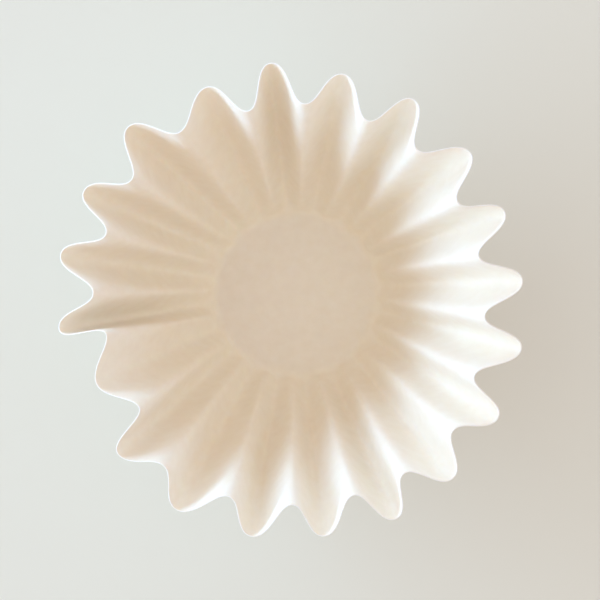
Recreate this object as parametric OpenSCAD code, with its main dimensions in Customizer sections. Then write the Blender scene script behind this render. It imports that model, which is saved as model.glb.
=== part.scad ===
// Fluted paper coffee filter with a flat base.
// One round blank of filter paper is pressed into a flat base, a round bend and a wall of flutes.
// The underside of the base lies on the XY plane, with its centre at the origin.
// The paper doesn't stretch. Halfway between the ridges, each line from the centre to the rim keeps its length,
// and each circle of the blank keeps its own: what is too much for the narrower wall goes into the flutes.
// The outer ridges end lower than the inner ones, so the rim is scalloped.

/* [Paper] */
// Diameter of the flat round blank that the filter is pressed from
blank_d = 155; // [145:1:185]
// Thickness of the paper
paper_t = 0.25; // [0.15:0.05:0.4]

/* [Base] */
// Diameter at which the level of the base and the slope of the wall would meet, were there no bend
base_d = 42; // [38:1:50]
// Radius of the bend between the base and the wall
bend_r = 2.5; // [1:0.5:4]

/* [Flutes] */
// Number of flutes round the wall
flutes = 20; // [14:1:24]
// Slope of the wall from level, halfway between the ridges, in degrees
wall_slope = 64.5; // [60:0.5:68]
// Depth of a flute with rounded ridges, as a share of a sharp zigzag's with the same length of paper
ridge_share = 0.92; // [0.85:0.01:1]
// How full the rounded ridges are: 0 is a plain cosine wave, 1 has the broadest ridges and straight sides
ridge_fullness = 0.35; // [0:0.05:0.8]
// Bearing of the first outer ridge from +X, in degrees
first_ridge = 6; // [0:1:18]

/* [Setting] */
// How far the flutes have moved from the regular pattern: 0 is new from the press, 1 is opened and set down
settled = 1; // [0:0.1:1]

/* [Hidden] */

// How each flute has settled at the rim, going round from the first one:
// turn of the outer ridge in degrees, its push outwards in mm,
// turn of the inner ridge that follows it, and the push of that one.
flute_settling = [
    [0.5, -1.0, 0.5, -1.5],
    [0.0, -1.0, -0.5, -1.0],
    [-1.0, -0.5, 0.5, 0.0],
    [-0.5, 0.5, -1.0, 0.0],
    [-0.5, 0.0, -0.5, 0.5],
    [-1.0, 1.5, -2.5, 0.0],
    [-2.5, -0.5, -0.5, 1.5],
    [0.5, 1.5, 0.5, 1.0],
    [1.0, 0.5, -0.5, 0.0],
    [-0.5, 0.5, -1.0, 0.0],
    [-0.5, 0.0, -6.5, -2.5],
    [-2.5, -5.5, 0.0, -3.5],
    [-1.5, -1.0, 0.0, 1.5],
    [0.5, 0.5, 2.5, 0.5],
    [2.0, 0.5, 3.0, 0.0],
    [2.0, 0.0, 3.0, 0.0],
    [2.0, 1.0, 1.0, 0.5],
    [1.0, 0.5, 1.5, 1.0],
    [1.5, 0.0, 0.5, -1.0],
    [1.5, -0.5, 0.5, -1.5],
];

blank_r = blank_d / 2;
base_r = base_d / 2;
half_pitch = 180 / flutes;

// Where the bend starts and ends on the flat blank, as distances from its centre
bend_start = base_r - bend_r * tan(wall_slope / 2);
bend_length = bend_r * wall_slope * PI / 180;
bend_end = bend_start + bend_length;

// Shares of the way from an outer ridge to the next inner one at which the wall has a point
ridge_steps = [0, 0.13, 0.3, 0.5, 0.7, 0.87];
steps = len(ridge_steps);
round_points = 2 * flutes * steps;
bend_rings = 4;
wall_rings = 7;
rings = bend_rings + wall_rings;
// Above 1, the rings of points on the wall crowd towards the bend, where the flutes deepen fastest
ring_crowding = 1.5;

function mix(a, b, share) = a + (b - a) * share;
function ray(bearing) = [cos(bearing), sin(bearing)];

// Slope, radius and height of the paper halfway between the ridges.
// Here and below, s is the distance from the centre of the flat blank.
function slope(s) = min((s - bend_start) / bend_length, 1) * wall_slope;
function past_bend(s) = max(s - bend_end, 0);
function mean_r(s) = bend_start + bend_r * sin(slope(s)) + past_bend(s) * cos(wall_slope);
function mean_z(s) = bend_r * (1 - cos(slope(s))) + past_bend(s) * sin(wall_slope);

// Depth of a flute, from halfway to a ridge. A zigzag as long as the blank's own circle sets it.
function ridge_depth(s) =
    let (stretch = s / mean_r(s))
    ridge_share * PI * mean_r(s) / flutes / 2 * sqrt(max(stretch * stretch - 1, 0));

// Height of the wave at a share of the way from ridge k to the next one: 1 on an outer ridge, -1 on an inner one.
// Ridge k round the wall is an outer one if k is even, and an inner one if it is odd.
function wave(k, share) =
    let (plain = cos(180 * share))
    (k % 2 == 0 ? 1 : -1) * mix(plain, sin(90 * plain), ridge_fullness);

// Radius and height that the press gives the paper, at a height of the wave
function pressed_r(s, height) = mean_r(s) + height * ridge_depth(s) * sin(slope(s));
function pressed_z(s, height) = mean_z(s) - height * ridge_depth(s) * cos(slope(s));

function ridge_row(k) = flute_settling[floor(k / 2) % len(flute_settling)];
function ridge_turn(k) = settled * ridge_row(k)[k % 2 * 2];
function ridge_push(k) = settled * ridge_row(k)[k % 2 * 2 + 1];

// The paper's middle at a share of the way from ridge k to the next. As it settles, each straight line
// up the wall swings about its foot, which is on the corner of the base, and its top moves the farthest.
function sheet_point(k, share, s) =
    let (
        next = (k + 1) % (2 * flutes),
        bearing = first_ridge + (k + share) * half_pitch,
        height = wave(k, share),
        toward_next = abs(wave(k, 0) - height) / 2,
        turn = mix(ridge_turn(k), ridge_turn(next), toward_next),
        push = mix(ridge_push(k), ridge_push(next), toward_next),
        rim = pressed_r(blank_r, height),
        rim_shift = (rim + push) * ray(bearing + turn) - rim * ray(bearing),
        foot = base_r * ray(bearing),
        place = pressed_r(s, height) * ray(bearing) + past_bend(s) / past_bend(blank_r) * rim_shift,
        reach = norm([pressed_r(s, height) - base_r, pressed_z(s, height)]),
        run = norm(place - foot)
    )
    [place.x, place.y, paper_t / 2 + sqrt(max(reach * reach - run * run, 0))];

// Distance of ring j from the centre of the flat blank, counted from the edge of the base's flat
function ring_distance(j) =
    j < bend_rings
        ? bend_start + bend_length * j / bend_rings
        : mix(bend_end, blank_r, pow((j - bend_rings) / wall_rings, ring_crowding));

sheet = [
    for (j = [0:rings])
        [for (i = [0:round_points - 1]) sheet_point(floor(i / steps), ridge_steps[i % steps], ring_distance(j))]
];

// Direction square to the paper, away from the axis and down. The base's own points face straight down.
function unit(v) = v / norm(v);
function outward_normal(i, j) =
    let (
        around = sheet[j][(i + 1) % round_points] - sheet[j][(i + round_points - 1) % round_points],
        up = sheet[min(j + 1, rings)][i] - sheet[max(j - 1, 0)][i]
    )
    j == 0 ? [0, 0, -1] : unit(cross(around, up));

function skin(side) = [
    for (j = [0:rings])
        for (i = [0:round_points - 1])
            sheet[j][i] + side * paper_t / 2 * outward_normal(i, j)
];

module pressed_sheet() {
    n = round_points;
    inner = n * (rings + 1);
    // Two triangles between points i and the next one, on ring a and ring b
    function patch(a, b, flip) = [
        for (i = [0:n - 1])
            let (i2 = (i + 1) % n)
            each flip
                ? [[a + i, b + i, b + i2], [a + i, b + i2, a + i2]]
                : [[a + i, b + i2, b + i], [a + i, a + i2, b + i2]]
    ];
    outer_wall = [for (j = [0:rings - 1]) each patch(j * n, (j + 1) * n, true)];
    inner_wall = [for (j = [0:rings - 1]) each patch(inner + j * n, inner + (j + 1) * n, false)];
    cut_edge = patch(rings * n, inner + rings * n, true);
    underside = [[for (i = [0:n - 1]) i]];
    inside = [[for (i = [n - 1:-1:0]) inner + i]];
    polyhedron(concat(skin(1), skin(-1)), concat(outer_wall, inner_wall, cut_edge, underside, inside));
}

module paper_filter() {
    color([0.96, 0.94, 0.89]) pressed_sheet();
}

paper_filter();
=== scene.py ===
"""A fluted paper coffee filter with a flat base, dressed and lit for a studio picture.

The filter is one round blank of filter paper. This script spins the flat blank, presses it into a flat
base, a round bend and a wall of flutes, lets the flutes settle as they do once a filter is opened, and gives
the sheet its thickness, its cut edge and its fibrous white finish. All sizes are in metres, in the frame of
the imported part: the origin is the centre of the base's underside, and +Z is up through the open rim.
"""

from __future__ import annotations

import logging
import math
from dataclasses import dataclass, field
from enum import Enum

import bmesh
import bpy
from mathutils import Euler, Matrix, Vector, noise

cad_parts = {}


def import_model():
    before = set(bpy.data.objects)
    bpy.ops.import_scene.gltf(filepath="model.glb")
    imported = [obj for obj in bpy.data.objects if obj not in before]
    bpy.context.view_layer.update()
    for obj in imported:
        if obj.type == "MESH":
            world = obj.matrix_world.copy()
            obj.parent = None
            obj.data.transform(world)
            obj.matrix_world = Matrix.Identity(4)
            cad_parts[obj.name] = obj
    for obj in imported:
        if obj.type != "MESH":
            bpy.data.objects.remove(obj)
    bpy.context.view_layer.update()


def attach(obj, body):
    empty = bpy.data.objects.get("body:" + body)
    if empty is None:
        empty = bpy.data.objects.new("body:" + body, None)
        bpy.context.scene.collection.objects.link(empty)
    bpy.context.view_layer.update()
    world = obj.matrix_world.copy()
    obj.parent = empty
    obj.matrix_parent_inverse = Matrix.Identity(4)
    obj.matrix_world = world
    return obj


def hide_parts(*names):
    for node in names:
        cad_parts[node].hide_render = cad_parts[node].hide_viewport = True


LOG = logging.getLogger("paper_filter")
MM = 0.001
FLAT_MAP = "flat_paper"


class Ridge(Enum):
    """The two kinds of ridge that a flute has. The value is the side of the wall's middle that it is on."""

    OUTER = 1
    INNER = -1


class Part(Enum):
    """The material slots of the sheet, in their order on the mesh."""

    FACE = 0
    CUT_EDGE = 1


class Follows(Enum):
    """What a finish's pattern follows."""

    FLAT_PAPER = "flat paper"
    SPACE = "space"


@dataclass(frozen=True)
class Settling:
    """How one flute has settled at the rim, away from the regular pattern.

    Turns are in degrees round the axis, and pushes are in millimetres outwards.
    """

    outer_turn: float
    outer_push: float
    inner_turn: float
    inner_push: float

    def turn(self, ridge: Ridge) -> float:
        """Returns the turn of one of the flute's two ridges, in radians."""
        return math.radians(self.outer_turn if ridge is Ridge.OUTER else self.inner_turn)

    def push(self, ridge: Ridge) -> float:
        """Returns the outward push of one of the flute's two ridges, in metres."""
        return MM * (self.outer_push if ridge is Ridge.OUTER else self.inner_push)


# One row for each flute, going round from the first outer ridge
FLUTE_SETTLING = (
    Settling(0.5, -1.0, 0.5, -1.5),
    Settling(0.0, -1.0, -0.5, -1.0),
    Settling(-1.0, -0.5, 0.5, 0.0),
    Settling(-0.5, 0.5, -1.0, 0.0),
    Settling(-0.5, 0.0, -0.5, 0.5),
    Settling(-1.0, 1.5, -2.5, 0.0),
    Settling(-2.5, -0.5, -0.5, 1.5),
    Settling(0.5, 1.5, 0.5, 1.0),
    Settling(1.0, 0.5, -0.5, 0.0),
    Settling(-0.5, 0.5, -1.0, 0.0),
    Settling(-0.5, 0.0, -6.5, -2.5),
    Settling(-2.5, -5.5, 0.0, -3.5),
    Settling(-1.5, -1.0, 0.0, 1.5),
    Settling(0.5, 0.5, 2.5, 0.5),
    Settling(2.0, 0.5, 3.0, 0.0),
    Settling(2.0, 0.0, 3.0, 0.0),
    Settling(2.0, 1.0, 1.0, 0.5),
    Settling(1.0, 0.5, 1.5, 1.0),
    Settling(1.5, 0.0, 0.5, -1.0),
    Settling(1.5, -0.5, 0.5, -1.5),
)


def mix(a: float, b: float, share: float) -> float:
    """Returns the value at a share of the way from a to b."""
    return a + (b - a) * share


def ray(bearing: float, radius: float = 1.0) -> Vector:
    """Returns the level vector at a bearing in radians, as long as the radius."""
    return Vector((radius * math.cos(bearing), radius * math.sin(bearing)))


@dataclass(frozen=True)
class PressedForm:
    """The form that the press gives the blank: where each point of the flat paper ends up.

    The paper doesn't stretch. Halfway between the ridges, each line from the centre to the rim keeps its
    length, and each circle of the blank keeps its own: what is too much for the narrower wall goes into the
    flutes.
    """

    blank_radius: float = 77.5 * MM
    thickness: float = 0.25 * MM
    base_radius: float = 21.0 * MM
    bend_radius: float = 2.5 * MM
    wall_slope: float = math.radians(64.5)
    ridge_share: float = 0.92
    rim_fullness: float = 0.35
    foot_fullness: float = -0.2
    first_ridge: float = math.radians(6.0)
    settling: tuple[Settling, ...] = FLUTE_SETTLING

    @property
    def flutes(self) -> int:
        """Returns the number of flutes round the wall."""
        return len(self.settling)

    @property
    def bend_start(self) -> float:
        """Returns the distance from the blank's centre at which the bend starts."""
        return self.base_radius - self.bend_radius * math.tan(self.wall_slope / 2)

    @property
    def bend_end(self) -> float:
        """Returns the distance from the blank's centre at which the bend ends."""
        return self.bend_start + self.bend_radius * self.wall_slope

    def slope(self, distance: float) -> float:
        """Returns the slope from level at a distance from the blank's centre, halfway between the ridges."""
        return min((distance - self.bend_start) / self.bend_radius, self.wall_slope)

    def past_bend(self, distance: float) -> float:
        """Returns how far up the straight wall a distance from the blank's centre reaches."""
        return max(distance - self.bend_end, 0.0)

    def mean_radius(self, distance: float) -> float:
        """Returns the paper's radius halfway between the ridges."""
        bent = self.bend_radius * math.sin(self.slope(distance))
        return self.bend_start + bent + self.past_bend(distance) * math.cos(self.wall_slope)

    def mean_height(self, distance: float) -> float:
        """Returns the paper's height above the base halfway between the ridges."""
        bent = self.bend_radius * (1 - math.cos(self.slope(distance)))
        return bent + self.past_bend(distance) * math.sin(self.wall_slope)

    def ridge_depth(self, distance: float) -> float:
        """Works out how deep a flute is.

        The circle of paper that has to fit round the wall sets the depth.

        Args:
            distance: Distance from the centre of the flat blank.

        Returns:
            The distance from the wall's middle to a ridge, square to the wall.
        """
        radius = self.mean_radius(distance)
        zigzag = math.pi * radius / self.flutes
        stretch = distance / radius
        return self.ridge_share * zigzag / 2 * math.sqrt(max(stretch * stretch - 1, 0.0))

    def climb(self, distance: float) -> float:
        """Returns how far up the wall a distance reaches, as a share of the way from the bend to the rim."""
        return self.past_bend(distance) / self.past_bend(self.blank_radius)

    def wave(self, share: float, distance: float) -> float:
        """Works out the wave's height.

        The ridges are crisp at the foot of the wall and rounder towards the rim.

        Args:
            share: Share of the way from one ridge to the next.
            distance: Distance from the centre of the flat blank.

        Returns:
            The height, from 1 on an outer ridge to -1 on the next inner one.
        """
        plain = math.cos(math.pi * share)
        fullness = mix(self.foot_fullness, self.rim_fullness, self.climb(distance) ** 2)
        return mix(plain, math.sin(math.pi / 2 * plain), fullness)

    def pressed(self, distance: float, height: float) -> tuple[float, float]:
        """Works out where the press puts the paper.

        Args:
            distance: Distance from the centre of the flat blank.
            height: Height of the wave, from 1 on an outer ridge to -1 on an inner one.

        Returns:
            The radius and the height above the base.
        """
        slope = self.slope(distance)
        depth = height * self.ridge_depth(distance)
        radius = self.mean_radius(distance) + depth * math.sin(slope)
        return radius, self.mean_height(distance) - depth * math.cos(slope)

    def _ridge(self, index: int) -> tuple[Ridge, float, float]:
        """Looks up how a ridge has settled.

        Args:
            index: The ridge's number round the wall. Even numbers are outer ridges.

        Returns:
            Its kind, its turn in radians and its push in metres.
        """
        ridge = Ridge.INNER if index % 2 else Ridge.OUTER
        settled = self.settling[index // 2 % self.flutes]
        return ridge, settled.turn(ridge), settled.push(ridge)

    def wall_point(self, bearing: float, distance: float) -> Vector:
        """Places a point of the bend or the wall.

        As the wall settles, each straight line up it swings about its foot on the corner of the base, and its
        top moves the farthest.

        Args:
            bearing: The point's bearing on the flat blank, in radians.
            distance: Its distance from the blank's centre.

        Returns:
            Where the paper's middle is there.
        """
        place = (bearing - self.first_ridge) / math.pi * self.flutes % (2 * self.flutes)
        index = int(place)
        ridge, turn, push = self._ridge(index)
        _, next_turn, next_push = self._ridge(index + 1)
        wave = self.wave(place - index, distance)
        toward_next = (1 - wave) / 2
        height = ridge.value * wave
        rim, _ = self.pressed(self.blank_radius, height)
        settled_bearing = bearing + mix(turn, next_turn, toward_next)
        settled_rim = ray(settled_bearing, rim + mix(push, next_push, toward_next))
        radius, level = self.pressed(distance, height)
        top = ray(bearing, radius) + self.climb(distance) * (settled_rim - ray(bearing, rim))
        reach = math.hypot(radius - self.base_radius, level)
        run = (top - ray(bearing, self.base_radius)).length
        rise = math.sqrt(max(reach * reach - run * run, 0.0))
        return Vector((top.x, top.y, self.thickness / 2 + rise))

    def point(self, flat: Vector) -> Vector:
        """Places a point of the flat blank on the pressed filter.

        Args:
            flat: The point on the flat blank, whose centre is at the origin.

        Returns:
            Where the paper's middle is there once the blank is pressed.
        """
        distance = flat.to_2d().length
        if distance <= self.bend_start:
            return Vector((flat.x, flat.y, self.thickness / 2))
        return self.wall_point(math.atan2(flat.y, flat.x), distance)


@dataclass(frozen=True)
class Dent:
    """A shallow round dent, placed on the flat blank. Its bearing is in degrees."""

    bearing: float
    distance: float
    radius: float
    depth: float

    def lift(self, flat: Vector) -> float:
        """Returns how far the dent moves the paper inwards at a point of the flat blank."""
        away = (flat.to_2d() - ray(math.radians(self.bearing), self.distance)).length / self.radius
        return self.depth * math.exp(-away * away)


@dataclass(frozen=True)
class Unevenness:
    """The slight waves and dents that handling leaves in the paper."""

    waves: float = 0.07 * MM
    wave_size: float = 9.0 * MM
    fine_waves: float = 0.01 * MM
    fine_wave_size: float = 3.0 * MM
    fine_wave_place: tuple[float, float, float] = (7.0, 3.0, 5.0)
    dents: tuple[Dent, ...] = (
        Dent(173.0, 57.0 * MM, 2.5 * MM, -0.4 * MM),
        Dent(197.0, 47.0 * MM, 5.0 * MM, -0.3 * MM),
        Dent(64.0, 52.0 * MM, 5.0 * MM, 0.2 * MM),
        Dent(318.0, 60.0 * MM, 5.0 * MM, -0.2 * MM),
    )

    def lift(self, flat: Vector, form: PressedForm) -> float:
        """Works out how far the paper lies from its regular form.

        Args:
            flat: The point on the flat blank.
            form: The form that the blank is pressed into.

        Returns:
            The distance towards the inside, square to the paper.
        """
        growth = min(form.past_bend(flat.length) / self.wave_size, 1.0)
        coarse = self.waves * noise.noise(flat / self.wave_size)
        fine = self.fine_waves * noise.noise(flat / self.fine_wave_size + Vector(self.fine_wave_place))
        dents = sum(dent.lift(flat) for dent in self.dents)
        return growth * (coarse + fine + dents)


def add_node(
    tree: bpy.types.NodeTree,
    kind: str,
    sockets: dict[str | int, object] | None = None,
    **options: object,
) -> bpy.types.Node:
    """Adds a node to a tree.

    Args:
        tree: The material's, group's or world's node tree.
        kind: The node's type.
        sockets: Values of its own sockets, by name or number.
        **options: Values of the node's other settings.

    Returns:
        The new node.
    """
    node = tree.nodes.new(kind)
    for name, value in options.items():
        setattr(node, name, value)
    for name, value in (sockets or {}).items():
        node.inputs[name].default_value = value
    return node


@dataclass(frozen=True)
class PatternGroup:
    """A shader node group: its name, the numbers that it takes and the values that it puts out."""

    name: str
    numbers: tuple[str, ...]
    values: tuple[str, ...]

    def start(self) -> tuple[bpy.types.ShaderNodeTree, bpy.types.Node, bpy.types.Node]:
        """Makes the group's tree with its sockets.

        Returns:
            The tree, its input node and its output node.
        """
        tree = bpy.data.node_groups.new(self.name, "ShaderNodeTree")
        tree.interface.new_socket("Vector", in_out="INPUT", socket_type="NodeSocketVector")
        for name in self.numbers:
            tree.interface.new_socket(name, in_out="INPUT", socket_type="NodeSocketFloat")
        for name in self.values:
            tree.interface.new_socket(name, in_out="OUTPUT", socket_type="NodeSocketFloat")
        return tree, tree.nodes.new("NodeGroupInput"), tree.nodes.new("NodeGroupOutput")


class PaperPatterns:
    """The two patterns that every finish of the paper shares, each built once as a node group."""

    fibre_bearings: tuple[float, ...] = (12.0, 71.0, 133.0)

    def __init__(self) -> None:
        """Builds both groups."""
        self.formation = self._build_formation()
        self.fibres = self._build_fibres()

    def _build_formation(self) -> bpy.types.ShaderNodeTree:
        """Builds the cloudy look that pulp has where it settled thicker or thinner.

        Returns:
            The node group's tree.
        """
        group = PatternGroup("paper_formation", ("Clouds per mm",), ("Cloud",))
        tree, start, end = group.start()
        cloud = add_node(tree, "ShaderNodeTexNoise", {"Detail": 4.0, "Roughness": 0.6})
        spread = add_node(tree, "ShaderNodeMapRange", {"From Min": 0.3, "From Max": 0.7})
        tree.links.new(start.outputs["Vector"], cloud.inputs["Vector"])
        tree.links.new(start.outputs["Clouds per mm"], cloud.inputs["Scale"])
        tree.links.new(cloud.outputs["Fac"], spread.inputs["Value"])
        tree.links.new(spread.outputs["Result"], end.inputs["Cloud"])
        return tree

    def _fibre_layer(
        self, tree: bpy.types.ShaderNodeTree, start: bpy.types.Node, bearing: float
    ) -> bpy.types.Node:
        """Adds one layer of long thin fibres that lie about one way.

        Args:
            tree: The fibre group's tree.
            start: Its input node.
            bearing: The way in which the fibres lie, in degrees.

        Returns:
            The node that gives the layer's mask.
        """
        turn = (0.0, 0.0, math.radians(bearing))
        lay = add_node(tree, "ShaderNodeMapping", {"Rotation": turn, "Scale": (0.3, 2.4, 2.4)})
        strands = add_node(tree, "ShaderNodeTexNoise", {"Scale": 1.0, "Detail": 2.0, "Distortion": 0.7})
        middle = add_node(tree, "ShaderNodeMath", {1: 0.5}, operation="SUBTRACT")
        fold = add_node(tree, "ShaderNodeMath", operation="ABSOLUTE")
        narrow_line = {"From Min": 0.0, "From Max": 0.05, "To Min": 1.0, "To Max": 0.0}
        thin = add_node(tree, "ShaderNodeMapRange", narrow_line)
        tree.links.new(start.outputs["Vector"], lay.inputs["Vector"])
        tree.links.new(lay.outputs["Vector"], strands.inputs["Vector"])
        tree.links.new(strands.outputs["Fac"], middle.inputs[0])
        tree.links.new(middle.outputs["Value"], fold.inputs[0])
        tree.links.new(fold.outputs["Value"], thin.inputs["Value"])
        return thin

    def _build_fibres(self) -> bpy.types.ShaderNodeTree:
        """Builds the mat of loose fibres and the grain between them.

        Returns:
            The node group's tree.
        """
        group = PatternGroup("paper_fibres", ("Grain per mm",), ("Fibre", "Height"))
        tree, start, end = group.start()
        masks = [self._fibre_layer(tree, start, bearing) for bearing in self.fibre_bearings]
        top = masks[0]
        for mask in masks[1:]:
            both = add_node(tree, "ShaderNodeMath", operation="MAXIMUM")
            tree.links.new(top.outputs[0], both.inputs[0])
            tree.links.new(mask.outputs[0], both.inputs[1])
            top = both
        grain = add_node(tree, "ShaderNodeTexNoise", {"Detail": 3.0, "Roughness": 0.65})
        height = add_node(tree, "ShaderNodeMix", {"Factor": 0.3}, data_type="FLOAT")
        tree.links.new(start.outputs["Vector"], grain.inputs["Vector"])
        tree.links.new(start.outputs["Grain per mm"], grain.inputs["Scale"])
        tree.links.new(grain.outputs["Fac"], height.inputs["A"])
        tree.links.new(top.outputs[0], height.inputs["B"])
        tree.links.new(top.outputs[0], end.inputs["Fibre"])
        tree.links.new(height.outputs["Result"], end.inputs["Height"])
        return tree


@dataclass(frozen=True)
class FilterPaperFinish:
    """White bleached filter paper: matt and softly see-through, with clouds of pulp and short fibres."""

    name: str
    follows: Follows
    thin_colour: tuple[float, float, float]
    thick_colour: tuple[float, float, float]
    clouds_per_mm: float = 0.35
    grain_per_mm: float = 1.6
    smooth: float = 0.82
    rough: float = 0.96
    bump: float = 0.5
    bump_depth: float = 0.03 * MM
    sheen: float = 0.25
    see_through: float = 0.3
    scatter: tuple[float, float, float] = (1.0, 0.8, 0.6)
    scatter_depth: float = 0.4 * MM

    def _place(self, tree: bpy.types.ShaderNodeTree, blank_radius: float) -> bpy.types.NodeSocket:
        """Puts the pattern on the paper, in millimetres.

        Args:
            tree: The material's node tree.
            blank_radius: Radius of the flat blank that the UV map covers.

        Returns:
            The socket that gives the place.
        """
        if self.follows is Follows.FLAT_PAPER:
            source = add_node(tree, "ShaderNodeUVMap", uv_map=FLAT_MAP).outputs["UV"]
            scale = 2 * blank_radius / MM
        else:
            source = add_node(tree, "ShaderNodeTexCoord").outputs["Object"]
            scale = 1 / MM
        mapping = add_node(tree, "ShaderNodeMapping", {"Scale": (scale, scale, scale)})
        tree.links.new(source, mapping.inputs["Vector"])
        return mapping.outputs["Vector"]

    def material(self, patterns: PaperPatterns, blank_radius: float) -> bpy.types.Material:
        """Builds the material.

        Args:
            patterns: The shared node groups.
            blank_radius: Radius of the flat blank that the UV map covers.

        Returns:
            The finished material.
        """
        made = bpy.data.materials.new(self.name)
        made.use_nodes = True
        tree = made.node_tree
        shader = tree.nodes["Principled BSDF"]
        shader.inputs["Specular IOR Level"].default_value = self.sheen
        shader.inputs["Subsurface Weight"].default_value = self.see_through
        shader.inputs["Subsurface Radius"].default_value = self.scatter
        shader.inputs["Subsurface Scale"].default_value = self.scatter_depth
        place = self._place(tree, blank_radius)
        clouds = add_node(tree, "ShaderNodeGroup", node_tree=patterns.formation)
        clouds.inputs["Clouds per mm"].default_value = self.clouds_per_mm
        fibres = add_node(tree, "ShaderNodeGroup", node_tree=patterns.fibres)
        fibres.inputs["Grain per mm"].default_value = self.grain_per_mm
        thin_and_thick = {"A": (*self.thin_colour, 1), "B": (*self.thick_colour, 1)}
        colour = add_node(tree, "ShaderNodeMix", thin_and_thick, data_type="RGBA")
        roughness = add_node(tree, "ShaderNodeMapRange", {"To Min": self.smooth, "To Max": self.rough})
        bump = add_node(tree, "ShaderNodeBump", {"Strength": self.bump, "Distance": self.bump_depth})
        tree.links.new(place, clouds.inputs["Vector"])
        tree.links.new(place, fibres.inputs["Vector"])
        tree.links.new(clouds.outputs["Cloud"], colour.inputs["Factor"])
        tree.links.new(colour.outputs["Result"], shader.inputs["Base Color"])
        tree.links.new(fibres.outputs["Fibre"], roughness.inputs["Value"])
        tree.links.new(roughness.outputs["Result"], shader.inputs["Roughness"])
        tree.links.new(fibres.outputs["Height"], bump.inputs["Height"])
        tree.links.new(bump.outputs["Normal"], shader.inputs["Normal"])
        return made


FACE_FINISH = FilterPaperFinish(
    name="filter_paper_face",
    follows=Follows.FLAT_PAPER,
    thin_colour=(0.92, 0.85, 0.735),
    thick_colour=(0.95, 0.89, 0.785),
)
CUT_EDGE_FINISH = FilterPaperFinish(
    name="filter_paper_cut_edge",
    follows=Follows.SPACE,
    thin_colour=(0.93, 0.9, 0.85),
    thick_colour=(0.96, 0.94, 0.9),
)


@dataclass
class PaperFilter:
    """The filter: a flat round blank, pressed, settled, thickened and dressed."""

    form: PressedForm = field(default_factory=PressedForm)
    unevenness: Unevenness = field(default_factory=Unevenness)
    face_finish: FilterPaperFinish = FACE_FINISH
    edge_finish: FilterPaperFinish = CUT_EDGE_FINISH
    steps_per_flute: int = 30
    base_rings: int = 6
    bend_rings: int = 10
    wall_rings: int = 54
    ring_crowding: float = 1.4
    edge_rounding: float = 0.06 * MM
    edge_segments: int = 2
    edge_angle: float = math.radians(50)

    def _ring_distances(self) -> list[float]:
        """Works out the rings of points on the blank. On the wall they crowd towards the bend.

        Returns:
            Each ring's distance from the centre of the flat blank, from the innermost ring to the rim.
        """
        base = [self.form.bend_start * (i + 1) / self.base_rings for i in range(self.base_rings)]
        bend_shares = [(i + 1) / self.bend_rings for i in range(self.bend_rings)]
        wall_shares = [((i + 1) / self.wall_rings) ** self.ring_crowding for i in range(self.wall_rings)]
        bend = [mix(self.form.bend_start, self.form.bend_end, share) for share in bend_shares]
        wall = [mix(self.form.bend_end, self.form.blank_radius, share) for share in wall_shares]
        return base + bend + wall

    def blank(self) -> bmesh.types.BMesh:
        """Spins the flat round blank.

        Returns:
            A flat disc of rings, closed at its centre, with its UV map laid out as the flat paper lies.
        """
        bm = bmesh.new()
        distances = self._ring_distances()
        line = [bm.verts.new((distance, 0, 0)) for distance in distances]
        edges = [bm.edges.new(pair) for pair in zip(line, line[1:])]
        bmesh.ops.spin(
            bm,
            geom=line + edges,
            cent=(0, 0, 0),
            axis=(0, 0, 1),
            angle=2 * math.pi,
            steps=self.steps_per_flute * self.form.flutes,
            use_merge=True,
        )
        middle_edges = [e for e in bm.edges if e.is_boundary and e.verts[0].co.length < distances[1]]
        cap = bmesh.ops.holes_fill(bm, edges=middle_edges, sides=0)["faces"]
        bmesh.ops.poke(bm, faces=cap)
        bmesh.ops.recalc_face_normals(bm, faces=bm.faces)
        if sum(f.normal.z for f in bm.faces) > 0:
            bmesh.ops.reverse_faces(bm, faces=bm.faces)
        layer = bm.loops.layers.uv.new(FLAT_MAP)
        for face in bm.faces:
            for loop in face.loops:
                loop[layer].uv = loop.vert.co.to_2d() / (2 * self.form.blank_radius) + Vector((0.5, 0.5))
        return bm

    def press(self, bm: bmesh.types.BMesh) -> None:
        """Presses the flat blank into its base and flutes and leaves it slightly uneven.

        Args:
            bm: The flat blank, whose points are moved in place.
        """
        flat = [vert.co.copy() for vert in bm.verts]
        for vert in bm.verts:
            vert.co = self.form.point(vert.co)
        bm.normal_update()
        for vert, place in zip(bm.verts, flat):
            vert.co -= vert.normal * self.unevenness.lift(place, self.form)

    def thicken(self, piece: bpy.types.Object) -> None:
        """Gives the sheet its thickness and softens its cut edge, with live modifiers.

        Args:
            piece: The object of the pressed sheet.
        """
        wall = piece.modifiers.new("paper_thickness", "SOLIDIFY")
        wall.thickness = self.form.thickness
        wall.offset = 0
        wall.use_even_offset = True
        wall.material_offset_rim = Part.CUT_EDGE.value
        rounding = piece.modifiers.new("cut_edge_rounding", "BEVEL")
        rounding.width = self.edge_rounding
        rounding.segments = self.edge_segments
        rounding.limit_method = "ANGLE"
        rounding.angle_limit = self.edge_angle

    def build(self) -> bpy.types.Object:
        """Builds the dressed filter.

        Returns:
            Its object.
        """
        bm = self.blank()
        self.press(bm)
        for face in bm.faces:
            face.smooth = True
        mesh = bpy.data.meshes.new("pressed_filter")
        bm.to_mesh(mesh)
        bm.free()
        piece = bpy.data.objects.new("pressed_filter", mesh)
        bpy.context.scene.collection.objects.link(piece)
        patterns = PaperPatterns()
        finishes = {Part.FACE: self.face_finish, Part.CUT_EDGE: self.edge_finish}
        for part in Part:
            mesh.materials.append(finishes[part].material(patterns, self.form.blank_radius))
        self.thicken(piece)
        return piece


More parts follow.
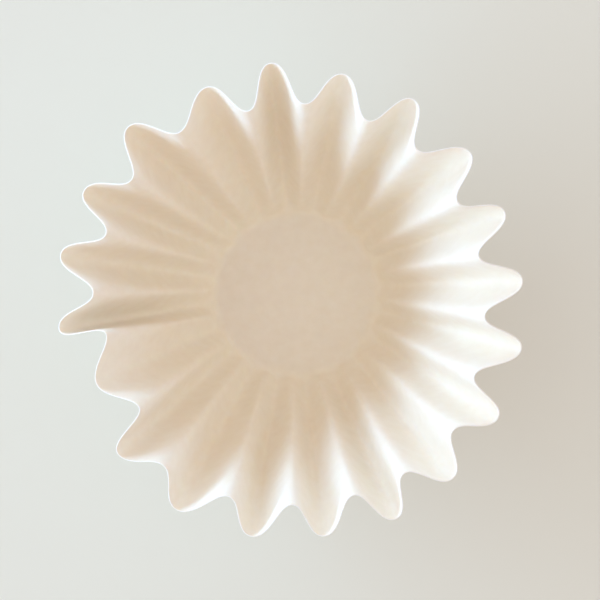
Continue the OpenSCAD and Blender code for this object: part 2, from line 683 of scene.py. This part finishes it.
@dataclass(frozen=True)
class Softbox:
    """A rectangular soft lamp that faces the origin. Its bearing and its height are in degrees."""

    name: str
    bearing: float
    height: float
    distance: float
    width: float
    depth: float
    power: float
    colour: tuple[float, float, float]

    def build(self) -> bpy.types.Object:
        """Hangs the lamp, out of the camera's sight.

        Returns:
            The lamp's object.
        """
        data = bpy.data.lights.new(self.name, "AREA")
        data.shape = "RECTANGLE"
        data.size = self.width
        data.size_y = self.depth
        data.energy = self.power
        data.color = self.colour
        lamp = bpy.data.objects.new(self.name, data)
        away = Vector((1, 0, 0))
        away.rotate(Euler((0, -math.radians(self.height), math.radians(self.bearing))))
        lamp.location = away * self.distance
        lamp.rotation_euler = away.to_track_quat("Z", "Y").to_euler()
        lamp.visible_camera = False
        bpy.context.scene.collection.objects.link(lamp)
        return lamp


@dataclass(frozen=True)
class Studio:
    """The floor, lamps, sky and camera of the picture."""

    image_width: int = 600
    focal_pixels: float = 1115.0
    sensor: float = 36.0
    camera_place: tuple[float, float, float] = (4.7 * MM, 14.5 * MM, 283.9 * MM)
    camera_tilt: tuple[float, float, float] = (-3.22, 0.75, 0.0)
    clip_range: tuple[float, float] = (0.01, 20.0)
    # Each lamp's name, bearing, height, distance, width, depth, power and colour
    lamps: tuple[Softbox, ...] = (
        Softbox("window", 168.0, 25.0, 1.2, 2.4, 0.25, 18.2, (0.42, 0.68, 1.0)),
        Softbox("low_window_side", 102.0, 8.0, 3.0, 3.0, 0.55, 30.0, (0.35, 0.67, 1.0)),
        Softbox("low_window_corner", 232.0, 10.0, 3.0, 2.0, 0.5, 20.0, (0.3, 0.63, 1.0)),
        Softbox("low_reflector", 20.0, 9.0, 3.0, 3.75, 1.0, 18.0, (0.26, 0.57, 1.0)),
        Softbox("high_window_side", 180.0, 58.0, 1.2, 1.8, 0.5, 1.3, (0.75, 1.0, 1.0)),
        Softbox("high_reflector", 4.0, 68.0, 1.2, 0.8, 0.8, 1.4, (0.65, 0.8, 1.0)),
    )
    sky_colour: tuple[float, float, float] = (1.0, 0.8, 0.69)
    sky_strength: float = 0.72
    backdrop_colour: tuple[float, float, float] = (0.78, 0.77, 0.74)
    floor_colour: tuple[float, float, float] = (0.75, 0.745, 0.65)
    floor_roughness: float = 0.9
    floor_size: float = 3.0
    floor_gap: float = 0.05 * MM

    def camera(self) -> bpy.types.Object:
        """Places the camera at the photograph's viewing angle.

        Returns:
            The camera's object.
        """
        data = bpy.data.cameras.new("camera")
        data.sensor_width = self.sensor
        data.lens = self.focal_pixels / self.image_width * self.sensor
        data.clip_start, data.clip_end = self.clip_range
        camera = bpy.data.objects.new("camera", data)
        camera.location = self.camera_place
        camera.rotation_euler = Euler([math.radians(v) for v in self.camera_tilt])
        bpy.context.scene.collection.objects.link(camera)
        bpy.context.scene.camera = camera
        return camera

    def sky(self) -> bpy.types.World:
        """Makes the even fill light all round, which looks like a plain pale backdrop.

        Returns:
            The world that holds both.
        """
        world = bpy.data.worlds.new("sky")
        world.use_nodes = True
        tree = world.node_tree
        fill = tree.nodes["Background"]
        fill.inputs["Color"].default_value = (*self.sky_colour, 1)
        fill.inputs["Strength"].default_value = self.sky_strength
        backdrop = add_node(tree, "ShaderNodeBackground", {"Color": (*self.backdrop_colour, 1)})
        seen = tree.nodes.new("ShaderNodeLightPath")
        seen_in_gloss = add_node(tree, "ShaderNodeMath", operation="MAXIMUM")
        seen_at_all = add_node(tree, "ShaderNodeMath", operation="MAXIMUM")
        choose = tree.nodes.new("ShaderNodeMixShader")
        tree.links.new(seen.outputs["Is Camera Ray"], seen_in_gloss.inputs[0])
        tree.links.new(seen.outputs["Is Glossy Ray"], seen_in_gloss.inputs[1])
        tree.links.new(seen_in_gloss.outputs["Value"], seen_at_all.inputs[0])
        tree.links.new(seen.outputs["Is Transmission Ray"], seen_at_all.inputs[1])
        tree.links.new(seen_at_all.outputs["Value"], choose.inputs["Fac"])
        tree.links.new(fill.outputs["Background"], choose.inputs[1])
        tree.links.new(backdrop.outputs["Background"], choose.inputs[2])
        tree.links.new(choose.outputs["Shader"], tree.nodes["World Output"].inputs["Surface"])
        bpy.context.scene.world = world
        return world

    def floor(self) -> bpy.types.Object:
        """Lays the pale floor a hair under the base, so that the two faces never share a plane.

        Returns:
            The floor's object.
        """
        bm = bmesh.new()
        bmesh.ops.create_grid(bm, x_segments=1, y_segments=1, size=self.floor_size / 2)
        mesh = bpy.data.meshes.new("floor")
        bm.to_mesh(mesh)
        bm.free()
        floor = bpy.data.objects.new("floor", mesh)
        floor.location.z = -self.floor_gap
        bpy.context.scene.collection.objects.link(floor)
        made = bpy.data.materials.new("pale_floor")
        made.use_nodes = True
        shader = made.node_tree.nodes["Principled BSDF"]
        shader.inputs["Base Color"].default_value = (*self.floor_colour, 1)
        shader.inputs["Roughness"].default_value = self.floor_roughness
        mesh.materials.append(made)
        return floor

    def build(self) -> None:
        """Sets up the whole studio."""
        self.camera()
        for lamp in self.lamps:
            lamp.build()
        self.sky()
        self.floor()


def main() -> None:
    """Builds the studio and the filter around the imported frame."""
    logging.basicConfig(level=logging.INFO, format="%(name)s: %(message)s")
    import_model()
    bpy.context.scene.view_settings.view_transform = "Standard"
    Studio().build()
    piece = PaperFilter().build()
    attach(piece, "root")
    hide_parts("paper_filter")
    LOG.info("%s: %d faces before its thickness", piece.name, len(piece.data.polygons))


if __name__ == "__main__":
    main()
